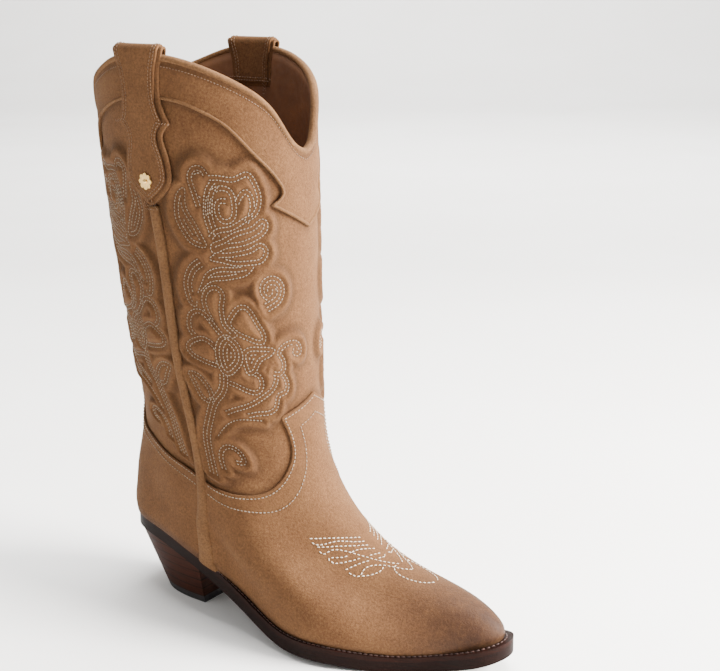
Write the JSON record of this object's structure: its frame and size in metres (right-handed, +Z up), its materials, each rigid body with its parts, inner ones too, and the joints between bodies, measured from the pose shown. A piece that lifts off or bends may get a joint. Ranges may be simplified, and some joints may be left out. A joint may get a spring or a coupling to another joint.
{
  "type": "cowboy boot",
  "caption": "Mid-calf western boot in suede with a scalloped collar, pull straps, padded floral stitching, pointed toe and an underslung stacked heel.",
  "frame": {"origin": "on the floor, under the middle of the heel cap", "axes": "+X to the toe, +Y to the wearer's inner side (right boot), +Z up the shaft"},
  "size_m": [0.2843, 0.1116, 0.3452],
  "materials": {
    "suede": "camel suede, napped",
    "suede_trim": "camel suede, folded and sewn edges",
    "gold": "polished, pale gold",
    "lining": "smooth tan lining leather",
    "stiffener": "resin-stiffened fabric",
    "board": "insole board",
    "cork": "granulated cork",
    "steel": "plain",
    "welt": "dark brown stained edge, waxed",
    "sole": "dark brown stained sole leather, waxed edge",
    "stack": "stacked leather lifts, stained dark brown",
    "cap": "black, matt"
  },
  "bodies": {
    "root": {"front_shaft_panel": "suede", "back_shaft_panel": "suede", "vamp": "suede", "heel_foxing": "suede", "front_collar": "suede", "back_collar": "suede", "side_piping_outer": "suede_trim", "side_piping_inner": "suede_trim", "front_top_binding": "suede_trim", "back_top_binding": "suede_trim", "pull_strap_outer": "suede_trim", "pull_strap_inner": "suede_trim", "strap_backing_outer": "suede_trim", "strap_backing_inner": "suede_trim", "concho": "gold", "front_shaft_lining": "lining", "back_shaft_lining": "lining", "foot_lining": "lining", "sock_liner": "lining", "toe_puff": "stiffener", "heel_counter": "stiffener", "vamp_interlining": "stiffener", "insole_board": "board", "cork_filler": "cork", "steel_shank": "steel", "heel_nails": "steel", "heel_cap_pins": "steel", "welt": "welt", "heel_rand": "welt", "outsole": "sole", "heel_lift_1": "stack", "heel_lift_2": "stack", "heel_lift_3": "stack", "heel_lift_4": "stack", "heel_lift_5": "stack", "heel_lift_6": "stack", "heel_cap": "cap"}
  },
  "joints": []
}
